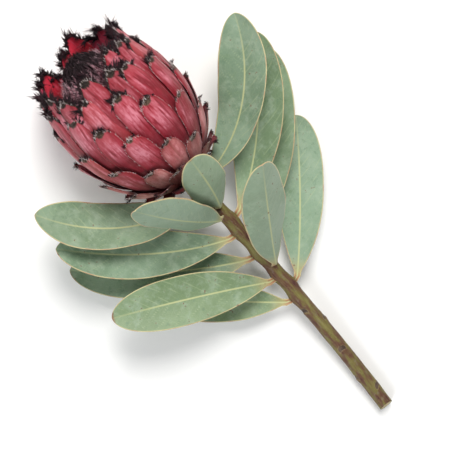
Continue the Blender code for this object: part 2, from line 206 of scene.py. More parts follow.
def makePiece(name, material, points, faces, values, uv=None, replaces=()):
    # faces is a list of arrays, each with one number of corners. Each of the values and each of the two
    # in uv has a number for every point, or fewer that numpy spreads over the points.
    shape = points.shape[:-1]
    points = points.reshape(-1, 3)
    if enclosed(points - points[0], faces) < 0:
        faces = [group[:, ::-1] for group in faces]
    corners = np.concatenate([group.ravel() for group in faces]).astype(np.int32)
    sizes = np.concatenate([np.full(len(group), group.shape[1]) for group in faces])
    mesh = bpy.data.meshes.new(name)
    mesh.vertices.add(len(points))
    mesh.vertices.foreach_set("co", ((points + frameShift) * mm).astype(np.float32).ravel())
    mesh.loops.add(len(corners))
    mesh.loops.foreach_set("vertex_index", corners)
    mesh.polygons.add(len(sizes))
    mesh.polygons.foreach_set("loop_start", (np.cumsum(sizes) - sizes).astype(np.int32))
    mesh.update(calc_edges=True)
    mesh.validate()
    mesh.shade_smooth()
    for key, numbers in values.items():
        layer = mesh.attributes.new(key, "FLOAT", "POINT")
        layer.data.foreach_set("value", np.broadcast_to(numbers, shape).astype(np.float32).ravel())
    if uv:
        layer = mesh.uv_layers.new(name="UVMap")
        both = np.stack([np.broadcast_to(numbers, shape).ravel() for numbers in uv], axis=-1)
        layer.uv.foreach_set("vector", both[corners].astype(np.float32).ravel())
    mesh.materials.append(material)
    piece = addObject(name, mesh)
    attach(piece, "root")
    if replaces:
        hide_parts(*replaces)
    print("made", name, int(np.sum(sizes - 2)), "triangles")


def tapers(root, aim, bend, length, girth, shape):
    # Closed tapers. The centre line is root + length (s aim + s^2 bend). Round it lies a ring of points at
    # each station s, girth times its width across, and one last point closes the end at s = 1. The shape
    # holds the number of sides, the stations and the widths. Also returned is the s of each point.
    sides, stations, widths = shape
    s = np.append(stations, 1.0)[None, :, None]
    centre = root[:, None] + length[:, None, None] * (s * aim[:, None] + s**2 * bend[:, None])
    run = unit(aim[:, None] + 2 * s * bend[:, None])[:, :-1]
    reference = np.eye(3)[np.argmin(np.abs(aim), axis=1)][:, None]
    first = unit(np.cross(run, reference))
    second = np.cross(run, first)
    circle = turned(evenTurns(sides), first[:, :, None], second[:, :, None])
    across = girth[:, None, None, None] * np.array(widths)[:, None, None]
    rings = centre[:, :-1, None] + across * circle
    points = np.concatenate([rings.reshape(len(root), -1, 3), centre[:, -1:]], axis=1)
    liftTo(tableGap, points)
    size = points.shape[1]
    last = size - 1 - sides
    ring = np.arange(sides)
    ends = np.stack([last + ring, last + (ring + 1) % sides, np.full(sides, size - 1)], axis=-1)
    faces = [gridQuads(len(stations), sides, closed=True), ends, ring[None, ::-1]]
    along = np.append(np.repeat(stations, sides), 1.0)
    return points, [repeated(group, len(root), size) for group in faces], along


# Materials

class Finish:
    # a material that is being put together: each method adds nodes and returns their output

    def __init__(self, name, roughness=0.5, specular=0.4, sheen=0.0, sheenTint=(1, 1, 1)):
        self.material = bpy.data.materials.new(name)
        self.material.use_nodes = True
        self.tree = self.material.node_tree
        self.sockets = self.tree.nodes["Principled BSDF"].inputs
        self.sockets["Roughness"].default_value = roughness
        self.sockets["Specular IOR Level"].default_value = specular
        self.sockets["Sheen Weight"].default_value = sheen
        self.sockets["Sheen Tint"].default_value = (*sheenTint, 1)

    def add(self, kind, inputs, output=0, **settings):
        # sockets go by name, or by number where several share one name
        node = self.tree.nodes.new("ShaderNode" + kind)
        for key, value in settings.items():
            setattr(node, key, value)
        for key, value in inputs.items():
            if isinstance(value, bpy.types.NodeSocket):
                self.tree.links.new(value, node.inputs[key])
            else:
                node.inputs[key].default_value = value
        return node.outputs[output]

    def value(self, name):
        return self.add("Attribute", {}, "Fac", attribute_name=name)

    def place(self, scale):
        # a pair scales the piece's own map, in millimetres, and a number scales object coordinates, in metres
        if isinstance(scale, tuple):
            return self.add("Mapping", {"Vector": self.add("UVMap", {}), "Scale": (*scale, 1)})
        return self.add("Mapping", {"Vector": self.add("TexCoord", {}, "Object"), "Scale": (scale,) * 3})

    def noise(self, scale, detail=3.0, rough=0.55, distortion=0.0):
        sizes = {"Scale": 1.0, "Detail": detail, "Roughness": rough, "Distortion": distortion}
        return self.add("TexNoise", {"Vector": self.place(scale), **sizes})

    def cells(self, scale, feature="DISTANCE_TO_EDGE"):
        return self.add("TexVoronoi", {"Vector": self.place(scale), "Scale": 1.0}, feature=feature)

    def ramp(self, value, low, high, start=0.0, end=1.0):
        # start below low, end above high and a smooth step between them
        ends = {"From Min": low, "From Max": high, "To Min": start, "To Max": end}
        return self.add("MapRange", {"Value": value, **ends}, interpolation_type="SMOOTHSTEP")

    def math(self, operation, *parts):
        # joins the parts one after another; a part in brackets stands for a ramp
        total, *others = (self.ramp(*part) if isinstance(part, tuple) else part for part in parts)
        for other in others:
            total = self.add("Math", {0: total, 1: other}, operation=operation)
        return total

    def times(self, *parts):
        return self.math("MULTIPLY", *parts)

    def plus(self, *parts):
        return self.math("ADD", *parts)

    def layers(self, colour, *coats):
        # lays coats of colour over the first one: each is (share, colour), or (signal, low, high, strength,
        # colour) where the share rises from 0 at low to the strength at high
        for share, *steps, coat in coats:
            if steps:
                share = self.ramp(share, steps[0], steps[1], 0, steps[2])
            under, over = (c if isinstance(c, bpy.types.NodeSocket) else (*c, 1) for c in (colour, coat))
            colour = self.add("Mix", {0: share, 6: under, 7: over}, 2, data_type="RGBA")
        return colour

    def apply(self, colour, roughness=None, height=None, bumpStrength=0.3, bumpDepth=0.0003):
        self.tree.links.new(colour, self.sockets["Base Color"])
        if roughness is not None:
            self.tree.links.new(roughness, self.sockets["Roughness"])
        if height is not None:
            sizes = {"Height": height, "Strength": bumpStrength, "Distance": bumpDepth}
            self.tree.links.new(self.add("Bump", sizes), self.sockets["Normal"])
        return self.material


def twoTone(name, colour, coat, scale, detail=3.0, **settings):
    # a plain material: one colour with clouds of another over it
    finish = Finish(name, **settings)
    return finish.apply(finish.layers(colour, (finish.noise(scale, detail), coat)))


# The head's own directions

head = {
    "tilt": math.radians(12),  # the axis above the table
    "footHeight": 33.4,  # of the axis above the table, where the stem ends
    "cup": (  # height up the axis and radius of the cup that the bracts follow
        (0, 8.5), (3, 17), (12, 28), (28, 38), (54, 43.5),
        (78, 41), (96, 35.5), (112, 31.5), (124, 30),
    ),
}
headFoot = np.array([0, 0, head["footHeight"]])
headAxis = np.array([0, math.cos(head["tilt"]), math.sin(head["tilt"])])
headUp = np.array([0, -math.sin(head["tilt"]), math.cos(head["tilt"])])
headSide = np.array([1.0, 0, 0])
cupProfile = makeProfile(head["cup"])


def around(turn):
    # the outward and the sideways direction at a turn round the head's axis
    return turned(turn, headSide, headUp), turned(turn, headUp, -headSide)


def onHead(turn, height, radius):
    # the point this far up the head's axis and this far out from it
    return headFoot + height[..., None] * headAxis + radius[..., None] * around(turn)[0]


def onProfile(profile, arc, turn):
    # a place on an outline that is turned round the head's axis: the point, the outward normal, the direction
    # up the outline, the sideways direction and the distance from the axis
    height, radius, normalAxis, normalRadius = atArc(profile, arc)
    outward, sideways = around(turn)
    normal = normalAxis * headAxis + normalRadius * outward
    climb = headAxis * normalRadius - outward * normalAxis
    return onHead(turn, height, radius), normal, climb, sideways, radius


# The stem

stem = {
    "length": 234.0,
    "sway": 15.0,  # to the side, at the cut
    "start": -1.5,  # the skin starts a little inside the head's foot
    "gap": 0.3,  # between the frame's stem and the solids next to it
    "neckRadius": 4.6,
    "cutRadius": 5.3,
    "cutClearance": 0.02,  # from the cut end to the table
    "collarRadius": 7.6,  # right under the head
    "collarFade": 9.0,
    "cutSlant": math.radians(32),
    "cutRun": 12.0,  # the last stretch, which the slant shears
    "cutRings": 14,
    "cutShrink": 0.985,  # how far the rings on the cut close in on the pith
    "cutDish": 0.5,
    "cushion": (1.3, 6, 0.7),  # height, half length and half width, the last in radians
    "scar": (0.8, 4, 0.6),
    "scarMoon": (3.4, 0.62, 3.6),  # half length, half width, and how far towards the cut the bite is set
    "scarDepth": 0.5,
    "scarCount": 8,
    "firstScar": 18.0,  # from the cut
    "scarStep": 13.6,
    "wrinkles": (0.10, 0.05),  # heights of those that cross and of those that run lengthwise
    "mapRadius": 5.0,  # that the bark's pattern is laid out for
    "sides": 72,
    "rings": 420,
    "frameSides": 12,  # of the frame's own coarse stem
    "frameRings": 45,
}


def stemCentre(back):
    # a level run back from the head's foot, swaying as the square of the share run, and drooping as a power
    # of the share left, so that it leaves along the head's axis and ends level
    share = back / stem["length"]
    endHeight = stem["cutRadius"] + stem["cutClearance"]
    drop = head["footHeight"] - endHeight
    bending = stem["length"] * math.tan(head["tilt"]) / drop
    height = endHeight + drop * np.maximum(0, 1 - share) ** bending
    return np.stack([-stem["sway"] * share**2, -back, height], axis=-1)


def stemFrame(back):
    # centre, forward, side and up of the stem, where forward follows a chord one millimetre long
    forward = unit(stemCentre(back - 0.5) - stemCentre(back + 0.5))
    side = unit(np.cross(forward, [0, 0, 1]))
    return stemCentre(back), forward, side, np.cross(side, forward)


def turnApart(turn, other):
    # the angle from one turn to another, between minus pi and pi
    return (turn - other + math.pi) % (2 * math.pi) - math.pi


def scarPlaces():
    # distance back from the head's foot and turn round the stem of each leaf scar
    number = np.arange(stem["scarCount"])
    return stem["length"] - stem["firstScar"] - stem["scarStep"] * number, goldenTurn * (number + 0.3)


def stemRadius(back, turn, cushions):
    # a slow swelling towards the cut end and a quick one at the head's foot, with a bell for each cushion
    # under a leaf and for each scar
    radius = mix((stem["neckRadius"], stem["cutRadius"]), back / stem["length"])
    radius = radius + (stem["collarRadius"] - stem["neckRadius"]) * np.exp(-back / stem["collarFade"])
    for (height, run, width), places in ((stem["cushion"], cushions), (stem["scar"], zip(*scarPlaces()))):
        for at, facing in places:
            radius = radius + height * bump(back - at, run) * bump(turnApart(turn, facing), width)
    return radius


def stemSurface(back, turn, cushions, relief=0.0):
    # the stem's skin, with its last stretch sheared to a slanting cut
    centre, forward, side, up = stemFrame(back)
    radius = stemRadius(back, turn, cushions) + relief
    cut = np.maximum(0, 1 - (stem["length"] - back) / stem["cutRun"])
    slant = math.tan(stem["cutSlant"]) * radius * np.sin(turn) * cut
    return centre + radius[..., None] * turned(turn, side, up) + slant[..., None] * forward


# The leaves' table is needed here already, because each leaf stands on a cushion of the stem.
# For each leaf: distance back from the head's foot, bearing from +Y towards +X at root and tip, rise above
# level at root and tip, roll at root and tip, length, width and whether it rests on the table.
leaves = {
    "leaf_01": (10, (90, 22), (8, 12), (40, 30), 118, 34, False),
    "leaf_02": (17, (-82, -20), (6, 12), (-38, -30), 114, 34, False),
    "leaf_03": (30, (16, 4), (66, 34), (172, 180), 74, 28, False),
    "leaf_04": (38, (-40, -24), (54, 30), (-150, -140), 90, 31, False),
    "leaf_05": (46, (66, 32), (4, 8), (24, 18), 126, 35, False),
    "leaf_06": (56, (-62, -32), (8, 11), (-26, -18), 124, 34, False),
    "leaf_07": (68, (58, 36), (-4, 0), (14, 8), 130, 36, False),
    "leaf_08": (78, (-60, -38), (-4, 0), (-14, -8), 126, 35, False),
    "leaf_09": (90, (22, 30), (50, 34), (165, 160), 112, 33, False),
    "leaf_10": (100, (-48, -58), (20, 4), (-20, -10), 118, 34, False),
    "leaf_11": (112, (48, 42), (4, -4), (14, 4), 114, 33, True),
    "leaf_12": (122, (-44, -40), (2, -3), (-8, 0), 106, 31, True),
}


def headings(bearing, rise, roll):
    # forward, side and up of a leaf that runs this way, turned about its midrib by roll
    b, r, w = map(np.radians, (bearing, rise, roll))
    east, north, high = np.eye(3)
    forward = turned(r, turned(b, north, east), high)
    level = turned(b, east, -north)
    above = np.cross(level, forward)
    return forward, turned(w, level, above), turned(w, above, -level)


def leafTurns(plan, along):
    # bearing, rise and roll: most of the bending is near the root
    return [mix(ends, along**0.8) for ends in plan[1:4]]


def leafSeat(plan):
    # the point on the stem's centre line, the outward direction and the turn round the stem of a leaf
    centre, forward, side, up = stemFrame(np.array(float(plan[0])))
    heading = headings(*leafTurns(plan, np.array(0.0)))[0]
    outward = unit(heading - dot(heading, forward) * forward)
    return centre, outward, float(np.arctan2(outward @ up, outward @ side)) % (2 * math.pi)


cushions = [(plan[0], leafSeat(plan)[2]) for plan in leaves.values()]

# The frame's origin is the middle of the whole flower seen from above. Its coarse stem, worked out again here
# with the same rings and sides, tells how far that lies from the head's foot.
coarseShare = np.arange(stem["frameRings"]) / (stem["frameRings"] - 1)
coarseBack = mix((stem["gap"], stem["length"]), coarseShare)[:, None]
coarseStem = stemSurface(coarseBack, evenTurns(stem["frameSides"]), cushions)
frameShift = np.array(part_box("stem")[0]) / mm - coarseStem.min(axis=(0, 1))
print("shift from the head's foot:", frameShift.round(3))


# Bracts

bracts = {
    "count": 80,
    "thickness": 0.9,
    # where the tips lie: share of the count, and length up the cup's outline
    "tips": ((0, 14), (0.19, 33), (0.43, 66), (0.62, 97), (0.72, 112), (0.86, 122), (1, 129)),
    "lengths": (24.0, 54.0),  # of the lowest bract and of the last
    "halfWidths": (7.8, 8.7, 7.4),  # lowest, halfway and last
    "lifts": (4.2, 1.8),  # of the tips off the cup
    "risePower": 0.75,  # below 1 the lift comes early
    "cupSkin": 2.6,  # from the cup's outline down to the receptacle
    "sink": 1.2,  # of the roots into the receptacle
    "lowestArc": 2.0,  # no root lies lower on the outline
    "bend": 0.72,  # radius from side to side, as a share of the cup's
    "tightestBend": 8.0,
    "flickStart": 0.75,  # the tips turn out from here on
    "footFlick": 1.6,  # how far they turn out at the foot
    "crownSplay": 2.0,  # how far in or out, by chance, at the mouth
    "rimSlant": 2.0,  # how much lower the tips at the upper side of the mouth lie
    "lean": math.radians(4),  # to either side
    "tipScatter": 1.6,
    "widthScatter": 0.5,
    "liftScatter": 0.7,
    "shoulder": 0.68,
    "bluntness": (3.0, 2.5),
    "roundness": (0.5, 0.56),
    "tipWidth": 0.16,  # as a share of the half width
    "waves": 0.36,  # heights of the slow waves and of the fine ribs
    "ribs": 0.07,
    "lip": 1.5,  # how far the lowest tips curl out
    "hood": 1.1,  # how far the upper ones curl in
    "patchHalf": 3.9,  # half width of the black patch at a tip
    "patchDepths": (4.4, 5.2),  # how far down the patch reaches, at the foot and at the mouth
    "patchEdge": 3.0,  # the higher, the sharper
    "rims": (-1.0, 1.7),  # width of the black rim at the foot, where there is none, and at the mouth
    "mapStep": 40.0,  # from one bract's place in the pattern to the next one's
    "rows": 34,
    "columns": 15,
}


def bractPlan(index):
    # the sizes of one bract or many, from the lowest and outermost (0) to the last one at the mouth
    share = index / (bracts["count"] - 1)
    tip = np.interp(share, *zip(*bracts["tips"])) + bracts["tipScatter"] * wobble(index, 1)
    tip = tip - bracts["rimSlant"] * share**2 * np.sin(index * goldenTurn)
    splay = bracts["crownSplay"] * share**3 * wobble(index, 5)
    halfWidth = np.interp(share, (0, 0.5, 1), bracts["halfWidths"])
    halfWidth = halfWidth + bracts["widthScatter"] * wobble(index, 2)
    root = np.maximum(bracts["lowestArc"], tip - mix(bracts["lengths"], share**0.5))
    return {
        "index": index,
        "share": share,
        "turn": index * goldenTurn,
        "root": root,
        "tip": tip,
        "length": tip - root,
        "halfWidth": halfWidth,
        "lift": mix(bracts["lifts"], share) + bracts["liftScatter"] * wobble(index, 3),
        "flick": bracts["footFlick"] * (1 - share) ** 2 + splay,
        "lean": bracts["lean"] * wobble(index, 4),
        "bluntness": mix(bracts["bluntness"], share),
        "roundness": mix(bracts["roundness"], share),
    }


def crownShare(plan):
    # 0 for the bracts round the foot and the middle, 1 for those round the mouth
    return smoothStep(plan["share"], 0.45, 0.8)


def bractOutline(plan, along):
    # half width: 0.8 + 0.2 sin up to the shoulder, then (1 - closing^bluntness)^roundness
    shoulder = bracts["shoulder"]
    lower = 0.8 + 0.2 * np.sin(math.pi / 2 * np.minimum(1, along / shoulder))
    closing = sharePast(along, shoulder)
    upper = np.maximum(bracts["tipWidth"], (1 - closing ** plan["bluntness"]) ** plan["roundness"])
    return np.where(along < shoulder, lower, upper)


def bractRelief(plan, along, across):
    # slow waves, fine lengthwise ribs, a curled lip on the lowest tips, a hood on the upper ones and uneven
    # margins that turn down
    phase = 3 * wobble(plan["index"], 11)
    swing = np.sin(3.7 * across + 2 * phase)
    waves = bracts["waves"] * np.sin(5.1 * along + 2.3 * across + phase) * swing * along
    snake = 1.5 * np.sin(6 * along + phase)
    ribs = bracts["ribs"] * np.sin(19 * across + snake) * smoothStep(along, 0.1, 0.4)
    lip = bracts["lip"] * (1 - plan["share"]) ** 3 * smoothStep(along, 0.84, 1.0) ** 2
    hood = bracts["hood"] * smoothStep(plan["share"], 0.3, 0.7) * smoothStep(along, 0.86, 1.0) ** 2
    edge = (-0.5 + 0.35 * np.sin(13 * along + 2 * across + 2 * phase)) * smoothStep(np.abs(across), 0.6, 1.0)
    return (waves + ribs) * (1 - across**4) + lip - hood + edge * along


def bractPoint(plan, along, across, depth):
    # A point of a bract: along from root (0) to tip (1), across from -1 to 1, depth under the outer face.
    # It follows the cup's outline, rises off it as a power of along and bends on a circle from side to side.
    arc = mix((plan["root"], plan["tip"]), along)
    middle, normal, _, sideways, radius = onProfile(cupProfile, arc, plan["turn"])
    rise = mix((-bracts["cupSkin"] - bracts["sink"], plan["lift"]), along ** bracts["risePower"])
    flick = plan["flick"] * sharePast(along, bracts["flickStart"]) ** 2
    rise = rise + flick + bractRelief(plan, along, across)
    half = plan["halfWidth"] * bractOutline(plan, along)
    bend = np.maximum(bracts["tightestBend"], bracts["bend"] * radius * (1 - 0.35 * along))
    angle = half * across / bend
    level = rise - bend * (1 - np.cos(angle)) - depth
    aside = bend * np.sin(angle) + plan["lean"] * plan["length"] * along
    point = middle + level[..., None] * normal + aside[..., None] * sideways
    liftTo(0, point)  # pressed flat where it meets the table
    return point


def bractThickness(along, across):
    # thick along the middle of the root and thin at the margins and the tip
    return bracts["thickness"] * (0.35 + 0.65 * (1 - np.abs(across) ** 3)) * (1 - 0.45 * along)


def makeBractFinish():
    finish = Finish("bract_silk", roughness=0.5, specular=0.3, sheen=0.1, sheenTint=(1, 0.82, 0.86))
    along, age, tone, warmth = map(finish.value, ("along", "age", "tone", "warmth"))
    tipGap, sideGap, inner = map(finish.value, ("tipGap", "sideGap", "inner"))
    streaks = finish.noise((1.3, 0.09), 4, 0.62)
    threads = finish.noise((4.5, 0.22), 2, 0.5)
    bands = finish.noise((0.42, 0.045), 3, 0.55, 0.6)
    clouds = finish.noise((0.16, 0.07), 3, 0.5)
    mottle = finish.noise((0.55, 0.26), 4, 0.7)
    grain = finish.noise(900, 2, 0.6)

    # silvery lilac where the silk lies thick: down the middle, in streaks and patches, less round the tip
    silk = finish.plus((streaks, 0.4, 0.7, 0, 0.6), (clouds, 0.62, 0.36, 0, 0.5), (tone, 0.2, -1, 0, 0.5))
    silk = finish.times(silk, (bands, 0.38, 0.6, 0.1, 1.3), (mottle, 0.36, 0.62, 0.55, 1.3))
    silk = finish.times(
        silk, (along, 0.38, 0.7, 0.05, 1), (tipGap, 0.5, 7, 0.4, 1), (sideGap, 0.8, 4.5, 0.15, 1)
    )

    # outer face: crimson, with painted shade where bracts overlap at root and sides; strong pink above, coral
    # round the tip
    outer = finish.layers(
        # dark crimson at the root, lighter above: partly the bract's own colour, partly painted shade under
        # the bract outside it
        (0.16, 0.004, 0.011),
        (along, 0.3, 0.75, 1, (0.35, 0.016, 0.040)),
        (tipGap, 7.5, 1.5, 0.6, (0.38, 0.036, 0.044)),
        (clouds, 0.35, 0.7, 0.7, (0.29, 0.015, 0.03)),
        (tone, 0, 1, 0.7, (0.20, 0.010, 0.018)),
        # painted shade in the fold creases: darker where the bands, which also raise the folds' bump, are low
        (bands, 0.47, 0.36, 0.85, (0.16, 0.005, 0.011)),
        # painted shade along the sides, where the neighbouring bracts overlap, laid over the sides' own
        # crimson
        (sideGap, 3.0, 0.5, 0.85, (0.21, 0.004, 0.013)),
        (silk, (0.57, 0.185, 0.235)),
        (warmth, 0.1, 1, 0.4, (0.38, 0.085, 0.07)),
        (threads, 0.62, 0.8, 0.35, (0.70, 0.44, 0.47)),
        (threads, 0.38, 0.2, 0.45, (0.17, 0.010, 0.020)),
        (mottle, 0.42, 0.3, 0.4, (0.24, 0.016, 0.028)),
    )

    # the lowest bracts are drier: some pale salmon, some red-brown, all browned towards the rim
    dry = finish.layers(
        (0.86, 0.47, 0.44),
        (clouds, 0.35, 0.7, 1, (0.58, 0.21, 0.19)),
        (mottle, 0.52, 0.38, 0.55, (0.40, 0.11, 0.10)),
        (tone, -0.2, 0.6, 1, (0.22, 0.045, 0.038)),
        (sideGap, 2.0, 0.3, 0.6, (0.20, 0.035, 0.03)),
        (tipGap, 4.0, 0.5, 0.6, (0.16, 0.06, 0.04)),
    )

    # inner face: clear red, on some bracts pink towards the tip, and a dull maroon on the lowest
    pink = finish.times((along, 0.55, 0.85), (warmth, 0.1, -0.7, 0.1, 0.85))
    red = finish.layers(
        (0.34, 0.006, 0.014),
        (along, 0.6, 1.0, 1, (0.68, 0.024, 0.05)),
        (pink, (0.82, 0.095, 0.19)),
        (streaks, 0.5, 0.75, 0.5, (0.78, 0.16, 0.24)),
        (age, 0.6, 0.35, 0.9, (0.11, 0.022, 0.022)),
    )

    # a ragged velvet rim at the tip, black on the upper bracts and brown with a black edge on the lower ones
    ragged = finish.plus(tipGap, finish.times(streaks, 2.2))
    soot = finish.layers((0.008, 0.005, 0.005), (grain, 0.4, 0.65, 1, (0.04, 0.03, 0.02)))
    velvet = finish.layers(
        (0.035, 0.020, 0.014),
        (grain, 0.38, 0.62, 1, (0.13, 0.085, 0.055)),
        (ragged, 0.4, -0.8, 0.75, soot),
        (age, 0.5, 0.78, 1, soot),
    )

    # all together, with a pale line here and there along the margins
    margin = finish.times((sideGap, 0.6, 0.1, 0, 0.5), (streaks, 0.45, 0.7))
    colour = finish.layers(
        outer,
        (age, 0.55, 0.18, 0.88, dry),
        (inner, red),
        (margin, (0.66, 0.42, 0.43)),
        (ragged, 1.5, 0.7, 1, velvet),
    )
    roughness = finish.math("MAXIMUM", (streaks, 0.3, 0.8, 0.42, 0.62), (ragged, 1.7, 0.8))
    folds = finish.plus(finish.times(bands, 4), streaks, grain)
    return finish.apply(colour, roughness, folds, 0.35)


def makeBracts():
    # four axes: bract, outer or inner face, along and across
    index = np.arange(bracts["count"], dtype=float)[:, None, None, None]
    inner = np.array([0.0, 1.0])[:, None, None]
    along = tipSteps(bracts["rows"], 1.25)[:, None]
    across = edgeSteps(bracts["columns"], 0.35)
    plan = bractPlan(index)
    points = bractPoint(plan, along, across, inner * bractThickness(along, across))
    half = plan["halfWidth"] * bractOutline(plan, along)
    length = plan["length"]
    sideGap = half * (1 - np.abs(across))
    # how far outside the black patch a point lies: an oval patch at every tip, and a rim round the crown's
    below = (1 - along) * length
    crown = crownShare(plan)
    size = 1 + 0.3 * wobble(index, 13)
    wide, deep = half * across / bracts["patchHalf"] / size, below / size / mix(bracts["patchDepths"], crown)
    patch = bracts["patchEdge"] * (np.sqrt(wide**2 + deep**2) - 1)
    rim = np.minimum(sideGap, 0.7 * below) - mix(bracts["rims"], crown)
    rim = rim + 0.3 * np.maximum(0, below - beardReach(plan))
    values = {
        "along": along,
        "age": plan["share"],
        "tone": wobble(index, 7),
        "warmth": wobble(index, 15) + 0.6 * (0.5 - plan["share"]),
        "inner": inner,
        "sideGap": sideGap,
        "tipGap": np.minimum(patch + 2.4 * inner, rim + 0.3 * inner),
    }
    uv = (half * across + bracts["mapStep"] * index, along * length)
    blade = bladeQuads(bracts["rows"], bracts["columns"])
    faces = [repeated(blade, bracts["count"], 2 * bracts["rows"] * bracts["columns"])]
    makePiece("bracts", makeBractFinish(), points, faces, values, uv, ["bract_head"])


receptacle = {
    "outside": (0, 1, 2, 4, 6, 10, 14, 21, 28, 36, 44, 52, 60, 66, 72, 78, 82),  # heights of its rings
    "inside": (82, 76, 70, 62, 54, 46, 38, 30, 22),
    "wall": 3.6,
    "footRadius": 7.5,
    "clearance": 0.4,  # above the table
    "sides": 72,
}


def makeReceptacle():
    # the closed cup under the bracts: two turned walls that meet at the rim
    outside, inside = (np.array(receptacle[side], float) for side in ("outside", "inside"))
    radii = [
        np.maximum(receptacle["footRadius"], np.interp(outside, *cupProfile[0].T) - bracts["cupSkin"]),
        np.interp(inside, *cupProfile[0].T) - bracts["cupSkin"] - receptacle["wall"],
    ]
    height = np.concatenate([outside[:1], outside, inside, inside[-1:]])[:, None]
    radius = np.concatenate([[poleRadius], *radii, [poleRadius]])[:, None]
    points = onHead(evenTurns(receptacle["sides"]), height, radius)
    liftTo(receptacle["clearance"], points)
    material = twoTone("receptacle_red", (0.10, 0.012, 0.018), (0.20, 0.03, 0.035), 300, roughness=0.7)
    faces = tubeFaces(len(height), receptacle["sides"])
    makePiece("receptacle", material, points, faces, {})


# Beards: the black fringe along each bract's tip, and the silvery hairs below it and along the margins

beard = {
    # each pair: on the bracts round the foot, and on those round the mouth
    "clumps": (5, 22),
    "lengths": (1.6, 4.4),
    "reach": (1.6, 5.5),  # how far down from the tip the beard runs
    "girths": (0.16, 0.29),
    "leans": (0.75, 0.15),  # outwards
    "curls": (0.5, -0.1),
    "clumpHairs": 13,
    "clumpSpread": 0.42,  # of the hairs' roots round the clump's foot
    "shape": (3, (0, 0.4, 0.75), (1, 0.85, 0.5)),  # of a hair: sides, stations and widths
    "seed": 11,
}


def beardReach(plan):
    return mix(beard["reach"], crownShare(plan))


def bractDirections(plan, along, across):
    # along, sideways and outward at a place on a bract, from short steps over its surface
    step = 0.02
    below = np.minimum(along, 0.97)  # the steps keep off the edge, here and with 0.9 of across
    ahead = bractPoint(plan, below, across * 0.9, 0) - bractPoint(plan, below - step, across * 0.9, 0)
    aside = bractPoint(plan, below, across * 0.9 + step, 0) - bractPoint(plan, below, across * 0.9 - step, 0)
    ahead = unit(ahead)
    outward = unit(np.cross(ahead, aside))
    return ahead, np.cross(outward, ahead), outward


def makeBeardFinish():
    finish = Finish("beard_velvet", roughness=0.6, specular=0.18, sheen=0.08, sheenTint=(0.7, 0.5, 0.6))
    return finish.apply(finish.layers(
        (0.007, 0.005, 0.007),
        (finish.noise(260), 0.35, 0.7, 1, (0.035, 0.010, 0.014)),
        (finish.value("along"), 0.5, 0.0, 0.5, (0.05, 0.02, 0.018)),
    ))


def makeBeards():
    # Clumps stand along each bract's rim, from one side over the tip to the other. The hairs of a clump are
    # rooted round its foot, lean a little towards each other and curl each in its own way.
    rng = np.random.default_rng(beard["seed"])
    index = np.arange(bracts["count"], dtype=float)
    index = np.repeat(index, mix(beard["clumps"], crownShare(bractPlan(index))).astype(int))
    total = len(index)
    plan = bractPlan(index)
    crown = crownShare(plan)
    length = plan["length"]
    edge = np.clip(1.05 * wobble(np.arange(total), 41), -1, 1)
    along = 1 - (beardReach(plan) * edge**2 + rng.uniform(0.2, 0.9, total)) / length
    across = np.clip(edge / 0.14, -1, 1) * rng.uniform(0.92, 1.0, total)
    ahead, aside, outward = bractDirections(plan, along, across)
    fan = (np.abs(edge) ** 1.2 * np.sign(edge) + rng.normal(0, 0.3, total))[:, None]
    lean = (mix(beard["leans"], crown) + rng.normal(0, 0.35, total))[:, None]
    aim = unit(np.cos(fan) * ahead + np.sin(fan) * aside + lean * outward)
    curl = (mix(beard["curls"], crown) + rng.normal(0, 0.4, total))[:, None]
    bend = 0.5 * curl * outward + 0.55 * rng.normal(0, 1, (total, 3))
    reach = mix(beard["lengths"], crown) * rng.uniform(0.65, 1.2, total) * (1 - 0.3 * edge**2)
    depth = rng.uniform(0, 1, total) * bractThickness(along, across)
    foot = bractPoint(plan, along, across, depth)

    which = np.repeat(np.arange(total), beard["clumpHairs"])
    total = len(which)
    spread = rng.normal(0, beard["clumpSpread"], (total, 3))
    root = foot[which] + spread - 0.3 * aim[which]
    reach = reach[which] * rng.uniform(0.6, 1.1, total)
    aim = aim[which] - 0.25 * spread / reach[:, None] + 0.16 * rng.normal(0, 1, (total, 3))
    bend = bend[which] + 0.15 * rng.normal(0, 1, (total, 3))
    girth = mix(beard["girths"], crown[which]) * rng.uniform(0.7, 1.2, total)
    points, faces, along = tapers(root, aim, bend, reach, girth, beard["shape"])
    makePiece("beards", makeBeardFinish(), points, faces, {"along": along})


silver = {
    "tuftHairs": 40,  # on each bract
    "tuftLengths": (1.2, 3.2),
    "marginHairs": 12,  # on each side of it
    "marginLengths": (0.7, 1.7),
    "girth": 0.09,
    "shape": (3, (0, 0.5), (1, 0.75)),
    "seed": 23,
}


